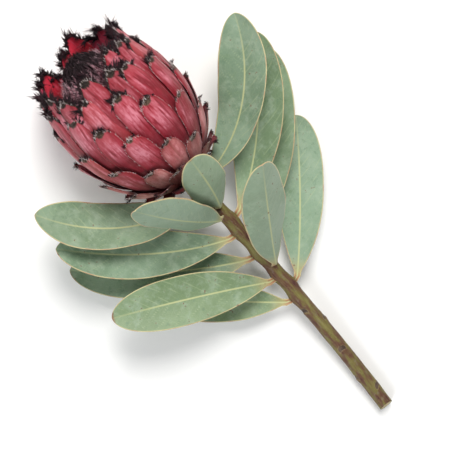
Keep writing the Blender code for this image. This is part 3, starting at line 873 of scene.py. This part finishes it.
def makeSilverHairs():
    # tufts that follow the edge of each black patch, and rows of short hairs along both margins
    rng = np.random.default_rng(silver["seed"])
    index = np.arange(bracts["count"], dtype=float)
    tufts = np.repeat(index, silver["tuftHairs"])
    index = np.append(tufts, np.repeat(index, 2 * silver["marginHairs"]))
    total = len(index)
    plan = bractPlan(index)
    isTuft = np.arange(total) < len(tufts)
    length = plan["length"]
    edge = rng.uniform(-1, 1, total)
    below = (beardReach(plan) * edge**2 + rng.uniform(0.2, 2.4, total)) / length
    along = np.where(isTuft, 1 - below, rng.uniform(0.5, 0.95, total))
    across = np.where(isTuft, 0.95 * edge, np.sign(edge) * rng.uniform(0.97, 1.0, total))
    ahead, aside, outward = bractDirections(plan, along, across)
    fan = 0.7 * edge + rng.normal(0, 0.2, total)
    spread = np.where(isTuft, fan, np.sign(edge) * rng.uniform(0.2, 0.8, total))
    lift = np.where(isTuft, rng.uniform(0.08, 0.35, total), rng.uniform(-0.1, 0.3, total))
    aim = unit(ahead + spread[:, None] * aside + lift[:, None] * outward)
    bend = 0.18 * rng.normal(0, 1, (total, 3))
    reaches = (rng.uniform(*silver[sizes], total) for sizes in ("tuftLengths", "marginLengths"))
    reach = np.where(isTuft, *reaches) * smoothStep(plan["share"], -0.1, 0.35)
    root = bractPoint(plan, along, across, 0.05) - 0.1 * aim
    girth = silver["girth"] * rng.uniform(0.7, 1.3, total)
    points, faces, _ = tapers(root, aim, bend, reach, girth, silver["shape"])
    colours = (0.62, 0.47, 0.47), (0.86, 0.80, 0.78)
    material = twoTone("silver_down", *colours, 200, 2, roughness=0.45, specular=0.5)
    makePiece("silver_hairs", material, points, faces, {})


# The dome of florets

dome = {
    "profile": (  # height up the head's axis and radius
        (22, 21), (38, 24), (58, 24.5), (76, 23.5), (87, 21),
        (95, 17), (101, 12.5), (105.5, 8), (108, 3.5), (108.4, 1),
    ),
    "skin": 0.5,  # how far the core lies under the outline
    "ridges": 24,
    "ridgeHeight": 0.4,
    "ridgeFade": 8.0,  # the radius below which they sink
    "florets": 330,
    "length": 14.0,
    "shortRun": 18.0,  # nearer the top than this they are shorter
    "girth": 1.05,
    "sink": 2.5,  # of their roots into the dome
    "reach": 46.0,  # how far down the outline they stand
    "lean": 0.46,  # of the florets away from the dome
    "climb": 0.9,  # and towards its top
    "curl": 0.16,  # back towards it
    "floretShape": (6, (0, 0.3, 0.6, 0.8, 0.93), (0.75, 0.95, 1, 0.85, 0.5)),
    "capRadii": (11.4, 16.2),  # black inside the first, silver-lilac outside the second
    "hairs": 32,  # on each floret
    "hairLengths": (1.2, 3.0),
    "hairGirths": (0.05, 0.1),
    "hairShape": (3, (0, 0.55), (1, 0.7)),
    "seed": 31,
    "rings": 60,
    "sides": 72,
}
domeProfile = makeProfile(dome["profile"])


def floretAxes():
    # root, aim, bend and length of each floret: a golden-angle spiral from the top down the dome, where the
    # outline's length grows as the power 0.62 of the count
    index = np.arange(dome["florets"], dtype=float)
    arc = domeProfile[1][-1] - dome["reach"] * ((index + 0.5) / dome["florets"]) ** 0.62
    place, normal, climb, sideways, _ = onProfile(domeProfile, arc, index * goldenTurn)
    root = place - dome["sink"] * normal
    aim = unit(dome["lean"] * normal + dome["climb"] * climb + 0.12 * wobble(index, 21)[:, None] * sideways)
    bend = -dome["curl"] * normal + 0.08 * wobble(index, 22)[:, None] * sideways
    length = dome["length"] * (0.55 + 0.45 * np.minimum(1, (domeProfile[1][-1] - arc) / dome["shortRun"]))
    return root, aim, bend, length * (1 + 0.1 * wobble(index, 23))


def blackness(radius):
    # 1 on the cap round the head's axis and 0 on the flanks
    return smoothStep(-radius, -dome["capRadii"][1], -dome["capRadii"][0])


def makeFloretFinish():
    # silver-lilac down on the flanks and black velvet on the top, with darker tips everywhere
    finish = Finish("floret_velvet", roughness=0.75, specular=0.15, sheen=0.12, sheenTint=(0.85, 0.65, 0.72))
    dark, along = map(finish.value, ("dark", "along"))
    patches = finish.noise(420, 3, 0.6)
    colour = finish.layers(
        (0.095, 0.022, 0.033),
        (patches, 0.35, 0.65, 1, (0.52, 0.28, 0.33)),
        (dark, finish.layers((0.009, 0.005, 0.006), (patches, 0.4, 0.75, 1, (0.032, 0.016, 0.020)))),
        (finish.times((along, 0.75, 1.0), (dark, 0.0, 0.5, 0.6, 0.85)), (0.015, 0.008, 0.012)),
    )
    return finish.apply(colour, height=patches)


def makeCore(material):
    # the dome's own skin: its outline turned round the axis, ribbed by two crossed sine waves
    line, lengths = domeProfile
    arc = np.linspace(0, lengths[-1], dome["rings"])
    height, radius = pointsAlong(line, lengths, arc).T[..., None]
    height[-1] -= dome["skin"]
    radius = radius - dome["skin"]
    radius[-1] = poleRadius
    turn = evenTurns(dome["sides"])
    ridges = dome["ridgeHeight"] * np.sin(dome["ridges"] * turn + 0.3 * height) * np.sin(0.9 * height)
    ridges = ridges * np.minimum(1, radius / dome["ridgeFade"])
    points = onHead(turn, height, np.maximum(poleRadius, radius + ridges))
    values = {"dark": blackness(radius), "along": 0}
    faces = tubeFaces(dome["rings"], dome["sides"])
    makePiece("floret_core", material, points, faces, values, None, ["floret_dome"])


def makeFlorets(material):
    # a taper along each floret's axis; its tip's distance from the head's axis tells how black it is
    root, aim, bend, length = floretAxes()
    count = len(root)
    girth = dome["girth"] * (1 + 0.12 * wobble(np.arange(count), 24))
    points, faces, along = tapers(root, aim, bend, length, girth, dome["floretShape"])
    tip = root + length[:, None] * (aim + bend) - headFoot
    tipRadius = np.linalg.norm(tip - dot(tip, headAxis) * headAxis, axis=1)
    dark = blackness(tipRadius + 1.5 * wobble(np.arange(count), 25))
    values = {"dark": dark[:, None], "along": along}
    makePiece("florets", material, points, faces, values)
    return root, aim, bend, length, girth, dark


def makeFloretDown(root, aim, bend, length, girth, dark):
    # hairs on the upper two thirds of each floret, which stand off aslant and point towards its tip
    rng = np.random.default_rng(dome["seed"])
    which = np.repeat(np.arange(len(root)), dome["hairs"])
    aim, bend, total = aim[which], bend[which], len(which)
    s = rng.uniform(0.35, 1.0, total)[:, None]
    spine = root[which] + length[which, None] * (s * aim + s**2 * bend)
    aside = rng.normal(0, 1, (total, 3))
    aside = unit(aside - dot(aside, aim) * aim)
    start = spine + 0.75 * girth[which, None] * aside * (1 - s**4)
    curl = 0.3 * rng.normal(0, 1, (total, 3)) + 0.25 * aim
    reach, girth = (rng.uniform(*dome[sizes], total) for sizes in ("hairLengths", "hairGirths"))
    aim = unit(0.85 * aim + 0.5 * aside)
    points, faces, _ = tapers(start, aim, curl, reach, girth, dome["hairShape"])
    values = {"dark": np.clip(dark[which] + rng.normal(0, 0.22, total), 0, 1)[:, None]}
    finish = Finish("floret_down", roughness=0.6, specular=0.2)
    colour = finish.layers(
        (0.44, 0.20, 0.25),
        (finish.noise(300, 2), (0.94, 0.69, 0.75)),
        (finish.value("dark"), 0.3, 0.6, 1, (0.013, 0.006, 0.007)),
    )
    makePiece("floret_down", finish.apply(colour), points, faces, values)


def makeDome():
    material = makeFloretFinish()
    makeCore(material)
    makeFloretDown(*makeFlorets(material))


# The stem's skin and its cut end

def makeStemFinish():
    # olive bark with red-brown patches, pale scales and specks, dark cracks and a red neck; brown pits with
    # pale rims at the scars; pale grained wood round the pith, a green ring and a dark edge at the cut
    finish = Finish("stem_bark", roughness=0.65, specular=0.35)
    scar, cut, back, onCut = map(finish.value, ("scar", "cut", "back", "onCut"))
    mottle = finish.noise((0.22, 0.05), 5, 0.6)
    streaks = finish.noise((1.1, 0.06), 4, 0.6)
    specks = finish.cells((0.8, 0.35), "F1")
    scales = finish.noise((0.34, 0.14), 4, 0.6)
    cracks = finish.noise((0.22, 1.3), 2, 0.5)
    pit = finish.layers((0.048, 0.030, 0.022), (scales, 0.4, 0.6, 1, (0.125, 0.082, 0.055)))
    wood = finish.layers(
        (0.42, 0.32, 0.17),
        (cut, 0.1, 0.3, 1, (0.60, 0.49, 0.28)),
        (finish.noise(900, 3, 0.6), 0.4, 0.7, 0.5, (0.40, 0.27, 0.12)),
        (cut, 0.78, 0.86, 1, (0.33, 0.36, 0.12)),
        (cut, 0.88, 0.95, 1, (0.10, 0.05, 0.025)),
    )
    rim = finish.times((scar, 0.05, 0.4), (streaks, 0.36, 0.6, 0.1, 0.8))
    colour = finish.layers(
        (0.155, 0.13, 0.035),
        (mottle, 0.44, 0.54, 1, (0.12, 0.055, 0.03)),
        (mottle, 0.54, 0.64, 0.9, (0.07, 0.018, 0.018)),
        (mottle, 0.44, 0.33, 0.8, (0.225, 0.20, 0.065)),
        (scales, 0.56, 0.66, 0.6, (0.20, 0.155, 0.11)),
        (streaks, 0.45, 0.7, 0.5, (0.21, 0.16, 0.065)),
        (streaks, 0.42, 0.25, 0.6, (0.04, 0.02, 0.012)),
        (cracks, 0.64, 0.74, 0.7, (0.045, 0.022, 0.015)),
        (specks, 0.16, 0.06, 0.6, (0.36, 0.29, 0.17)),
        (back, 26, 0, 0.7, (0.24, 0.06, 0.05)),
        (rim, (0.30, 0.23, 0.12)),
        (scar, 0.35, 0.9, 1, pit),
        (onCut, 0.4, 0.6, 1, wood),
    )
    return finish.apply(colour, finish.ramp(streaks, 0.3, 0.7, 0.55, 0.8), streaks, 0.5, 0.0004)


def makeStem():
    # the skin from inside the head's foot back to the cut, and the cut's own face
    back = mix((stem["start"], stem["length"]), np.linspace(0, 1, stem["rings"]))[:, None]
    turn = evenTurns(stem["sides"])
    scar = groove = np.zeros((stem["rings"], stem["sides"]))
    run, width, bite = stem["scarMoon"]
    for at, facing in zip(*scarPlaces()):
        # a half-moon: inside one ellipse and outside another that lies nearer the cut
        aside = (turnApart(turn, facing) / width) ** 2
        low, high = (((back - at - shift) / run) ** 2 + aside for shift in (0, bite))
        moon = smoothStep(low, 1.5, 0.6) * smoothStep(high, 0.6, 1.3)
        scar = np.maximum(scar, moon)
        groove = groove + stem["scarDepth"] * moon
    # wrinkles: two sine waves that cross, and a third that snakes along the stem
    crossed = np.sin(9 * turn + 0.05 * back + 2 * np.sin(0.07 * back)) * np.sin(0.31 * back + 3 * turn)
    lengthwise = np.sin(17 * turn + 0.8 * np.sin(0.12 * back))
    wrinkles = stem["wrinkles"][0] * crossed + stem["wrinkles"][1] * lengthwise
    skin = stemSurface(back, turn, cushions, wrinkles - groove)
    liftTo(tableGap, skin)

    # the cut face: rings that shrink towards the pith, slightly dished
    inward = (1 - np.linspace(0, 1, stem["cutRings"])[1:] * stem["cutShrink"])[:, None]
    rim = skin[-1]
    middle = rim.mean(axis=0)
    forward = stemFrame(np.array(stem["length"]))[1]
    share = inward[..., None]
    face = middle + share * (rim - middle) + stem["cutDish"] * (1 - share) * forward
    points = np.concatenate([skin, face])
    pad = [(0, len(face)), (0, 0)]
    back = np.pad(back, pad, "edge")
    values = {
        "scar": np.pad(scar, pad),
        "back": back,
        "cut": np.concatenate([np.ones((len(skin), 1)), inward]),
        "onCut": np.arange(len(points))[:, None] >= len(skin),
    }
    uv = (turn * stem["mapRadius"], back)
    faces = tubeFaces(len(points), stem["sides"])
    makePiece("stem_skin", makeStemFinish(), points, faces, values, uv, ["stem"])


# Leaf blades

leaf = {
    "thickness": 0.8,
    "rootThickness": 2.0,
    "rootFade": 0.08,  # the share of the length in which it thins
    "rootWidth": 5.0,
    "tipWidth": 0.7,
    "widest": 0.6,  # as a share of the length
    "sharpness": (0.46, 0.6),  # from the roundest tip to the most pointed one
    "neck": 1.2,  # from the cushion to the midrib's start
    "wave": 1.7,
    "ripple": 0.35,
    "fold": 0.26,  # how steeply the halves rise from the midrib
    "ribs": (0.22, 0.55),  # depth of the midrib's groove above and height of its ridge below
    "ribWidth": 0.9,
    "veins": (0.05, 0.07),  # height above and below
    "veinStep": 7.0,
    "veinPower": 8,  # the higher, the narrower
    "rootSink": 0.9,  # into the stem
    "passes": 12,  # in which a leaf is laid down on the table
    "mapStep": 60.0,  # from one leaf's place in the pattern to the next one's
    "steps": 80,  # of the midrib
    "rows": 84,
    "columns": 33,
}


def leafOutline(along, sharpness):
    # half width, with t the share of each stretch: 1 - (1 - t)^2.1 up to the widest place, then
    # (1 - t^2.4)^sharpness
    widen = 1 - (1 - np.minimum(1, along / leaf["widest"])) ** 2.1
    return widen * (1 - sharePast(along, leaf["widest"]) ** 2.4) ** sharpness


def leafSpine(plan):
    # the seat on the cushion, the direction out from the stem, and the midrib: short steps, each along the
    # heading that the leaf has there
    back, *_, length, _, _ = plan
    centre, outward, turn = leafSeat(plan)
    seat = centre + (stemRadius(np.array(float(back)), np.array(turn), cushions) + stem["gap"]) * outward
    count = leaf["steps"]
    forward = headings(*leafTurns(plan, (np.arange(count) + 0.5) / count))[0]
    start = seat + leaf["neck"] * outward
    return seat, outward, start + np.vstack([np.zeros(3), np.cumsum(forward, axis=0) * length / count])


def leafRelief(number, along, across, half):
    # the fold up from the midrib as across^1.5, a wave as across^2 and a finer ripple as across^4, which both
    # swell towards the middle of the leaf
    swell = np.sin(math.pi * along)
    wave = leaf["wave"] * swell * across**2 * np.sin(9.5 * along + 2.1 * number + across)
    ripple = leaf["ripple"] * swell * across**4 * np.sin(27 * along + 1.7 * number + 2 * across)
    return leaf["fold"] * half * np.abs(across) ** 1.5 + wave + ripple


def leafSurface(plan, number):
    # rows across the midrib, raised by the relief; the two faces lie half the thickness to either side, with
    # the midrib's groove and the veins above and its ridge and the veins below
    *_, length, width, onTable = plan
    seat, outward, spine = leafSpine(plan)
    along = tipSteps(leaf["rows"], 1.4)[:, None]
    across = edgeSteps(leaf["columns"], 0.25)[None]
    shares = np.linspace(0, 1, len(spine))
    middle = pointsAlong(spine, shares, along[:, 0])
    forward, side, up = headings(*leafTurns(plan, along[:, 0]))
    half = width / 2 * leafOutline(along, mix(leaf["sharpness"], 0.5 + 0.5 * wobble(number, 19)))
    half = np.maximum(np.maximum(leaf["rootWidth"] / 2 * (1 - along), half), leaf["tipWidth"] / 2)
    extra = leaf["rootThickness"] - leaf["thickness"]
    thick = leaf["thickness"] + extra * np.exp(-along / leaf["rootFade"])
    thick = thick * (0.4 + 0.6 * np.sqrt(1 - 0.98 * across**2))
    relief = leafRelief(number, along, across, half)
    offset = half * across
    ridge = bump(offset, leaf["ribWidth"]) * (1 - 0.75 * along) * smoothStep(along, 0.0, 0.06)
    distance = along * length
    veins = veinPattern(distance, offset)
    rows = middle[:, None] + offset[..., None] * side[:, None]
    levels = (
        relief + face * (thick / 2 + vein * veins) - rib * ridge
        for face, rib, vein in zip((1, -1), leaf["ribs"], leaf["veins"])
    )
    grids = np.stack([rows + level[..., None] * up[:, None] for level in levels])
    grids[:, 0] -= (dot(grids[:, 0] - seat, outward) + leaf["rootSink"]) * outward
    if onTable:
        # each pass moves the blade by its lowest point's height, the more the nearer its tip
        for _ in range(leaf["passes"]):
            grids[..., 2] -= grids[..., 2].min() * along**2
    return grids, along, distance, offset, half - np.abs(offset)


def veinPattern(distance, offset):
    # side veins: a high power of a cosine wave along the leaf, delayed by the offset from the midrib and by
    # its square, so that they leave the midrib at a slant and curve forward
    slanted = distance - 1.15 * np.abs(offset) - 0.022 * offset**2
    return np.maximum(0, np.cos(2 * math.pi * slanted / leaf["veinStep"])) ** leaf["veinPower"]


def makeLeafFinish():
    # blue-green or yellow-green by leaf, mottled and blotched, with a net of veins; paler below, red at the
    # root, with a pale midrib, a yellow and rusty margin, a few brown spots and, on some, a brown tip
    finish = Finish("leaf_wax", roughness=0.5, specular=0.35, sheen=0.12, sheenTint=(0.9, 1, 0.95))
    ribGap, edge, along = map(finish.value, ("ribGap", "edge", "along"))
    under, vein, tone = map(finish.value, ("under", "vein", "tone"))
    broad = finish.noise(22, 3, 0.5)
    mottle = finish.noise(120, 4, 0.6)
    blotch = finish.noise(190, 4, 0.65)
    fine = finish.noise(900, 2, 0.6)
    freckles = finish.noise(430, 1, 0.4)
    net = finish.cells((0.42, 0.30))
    yellowish = finish.layers((0.165, 0.235, 0.115), (broad, 0.38, 0.62, 1, (0.24, 0.325, 0.18)))
    margin = finish.layers((0.58, 0.51, 0.27), (mottle, 0.45, 0.65, 1, (0.50, 0.30, 0.17)))
    colour = finish.layers(
        (0.155, 0.24, 0.16),
        (broad, 0.38, 0.62, 1, (0.225, 0.325, 0.235)),
        (tone, -1, 1, 1, yellowish),
        (mottle, 0.45, 0.72, 0.65, (0.30, 0.385, 0.28)),
        (mottle, 0.42, 0.25, 0.5, (0.13, 0.21, 0.105)),
        (blotch, 0.56, 0.68, 0.42, (0.11, 0.19, 0.12)),
        (blotch, 0.42, 0.32, 0.32, (0.31, 0.40, 0.31)),
        (net, 0.06, 0.0, 0.22, (0.31, 0.40, 0.24)),
        (vein, 0.3, 0.9, 0.42, (0.34, 0.42, 0.25)),
        (finish.times(under, 0.35), (0.34, 0.42, 0.30)),
        (along, 0.16, 0.0, 1, (0.42, 0.36, 0.16)),
        (along, 0.05, 0.0, 0.8, (0.36, 0.12, 0.08)),
        (finish.times((ribGap, 0.75, 0.35), (along, 1.0, 0.6, 0.2, 0.85)), (0.47, 0.50, 0.25)),
        (edge, 0.85, 0.35, 0.9, margin),
        (finish.times((freckles, 0.69, 0.73), (mottle, 0.5, 0.62), 0.75), (0.16, 0.06, 0.035)),
        (finish.times((tone, -0.4, 0.4), (along, 0.98, 0.998)), (0.24, 0.12, 0.06)),
    )
    height = finish.plus((net, 0.0, 0.12, 0, 0.6), finish.times(fine, 0.5))
    return finish.apply(colour, finish.ramp(mottle, 0.3, 0.7, 0.44, 0.62), height, 0.25)


def makeLeaves():
    material = makeLeafFinish()
    faces = [bladeQuads(leaf["rows"], leaf["columns"])]
    for number, (name, plan) in enumerate(leaves.items(), 1):
        points, along, distance, offset, edge = leafSurface(plan, number)
        values = {
            "ribGap": np.abs(offset),
            "edge": edge,
            "along": along,
            "under": np.array([0, 1])[:, None, None],
            "vein": veinPattern(distance, offset),
            "tone": wobble(number, 9),
        }
        uv = (offset + leaf["mapStep"] * number, distance)
        makePiece(f"blade_{name[-2:]}", material, points, faces, values, uv, [name])


makeStem()
makeLeaves()
makeReceptacle()
makeBracts()
makeBeards()
makeSilverHairs()
makeDome()


# The pale table, the lights and the camera

studio = {
    # lengths here are in metres
    "floor": 3.0,
    "floorDrop": 0.0002,  # keeps the table just below the flower
    "elevation": math.radians(75.5),  # the head's mouth then opens 27 degrees towards the camera
    "roll": math.radians(135),  # the head points to the upper left
    "lens": 100.0,
    "clip": (0.05, 20.0),
    "fill": 0.9,  # of the frame that the flower takes up
    "sky": 0.37,
    "lights": {  # place, target, size, power and colour
        "key": ((0.55, 0.75, 1.05), (0, 0.05, 0.03), 0.7, 20.0, (1, 0.985, 0.96)),
        "rim": ((-0.9, -0.2, 0.8), (0, 0, 0.03), 0.6, 6.0, (0.96, 0.98, 1)),
    },
}


def makeFloor():
    # a square just under the flower
    mesh = bpy.data.meshes.new("floor")
    half = studio["floor"] / 2
    corners = [(-half, -half, 0), (half, -half, 0), (half, half, 0), (-half, half, 0)]
    mesh.from_pydata(corners, [], [(0, 1, 2, 3)])
    floor = addObject("floor", mesh)
    floor.location.z = -studio["floorDrop"]
    colours = (0.93, 0.93, 0.925), (0.96, 0.96, 0.955)
    mesh.materials.append(twoTone("pale_table", *colours, 3, roughness=0.8, specular=0.2))


def putAt(thing, place, turn):
    thing.location = place
    thing.rotation_mode = "QUATERNION"
    thing.rotation_quaternion = turn


def makeLight(name, place, target, size, power, colour):
    # a disk of light that faces its target
    light = bpy.data.lights.new(name, "AREA")
    light.shape = "DISK"
    light.size = size
    light.energy = power
    light.color = colour
    turn = (Vector(target) - Vector(place)).to_track_quat("-Z", "Y")
    putAt(addObject(name, light), place, turn)


def makeCamera():
    # looks down on the flower from beyond its head, turned so that the head points up and left, and stands
    # as far off as fits every corner of the frame's solids into the picture
    data = bpy.data.cameras.new("camera")
    data.lens = studio["lens"]
    camera = addObject("camera", data)
    bpy.context.scene.camera = camera
    back = Vector((0, math.cos(studio["elevation"]), math.sin(studio["elevation"])))
    turn = (-back).to_track_quat("-Z", "Y") @ Quaternion((0, 0, 1), studio["roll"])
    corners = np.concatenate([
        np.array([v.co for v in node.data.vertices]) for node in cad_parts.values()
    ])
    axes = np.array([turn @ Vector(axis) for axis in ((1, 0, 0), (0, 1, 0), (0, 0, 1))])
    seen = corners @ axes.T
    low, high = seen.min(axis=0), seen.max(axis=0)
    distance = (high - low)[:2].max() / studio["fill"] * data.lens / data.sensor_width
    putAt(camera, (low + high) / 2 @ axes + axes[2] * distance, turn)
    data.clip_start, data.clip_end = studio["clip"]


def makeSky():
    # gives a soft even light, and looks as white as the table to the camera alone
    world = bpy.data.worlds.new("studio")
    bpy.context.scene.world = world
    world.use_nodes = True
    tree = world.node_tree
    sky = tree.nodes["Background"]
    sky.inputs[0].default_value = (1, 1, 1, 1)
    seen = tree.nodes.new("ShaderNodeLightPath").outputs["Is Camera Ray"]
    strength = tree.nodes.new("ShaderNodeMapRange")
    strength.inputs["To Min"].default_value = studio["sky"]
    strength.inputs["To Max"].default_value = 1.0
    tree.links.new(seen, strength.inputs["Value"])
    tree.links.new(strength.outputs["Result"], sky.inputs[1])


makeFloor()
makeSky()
for lightName, lightPlan in studio["lights"].items():
    makeLight(lightName, *lightPlan)
makeCamera()
bpy.context.scene.view_settings.view_transform = "Standard"
print("stage and camera set")
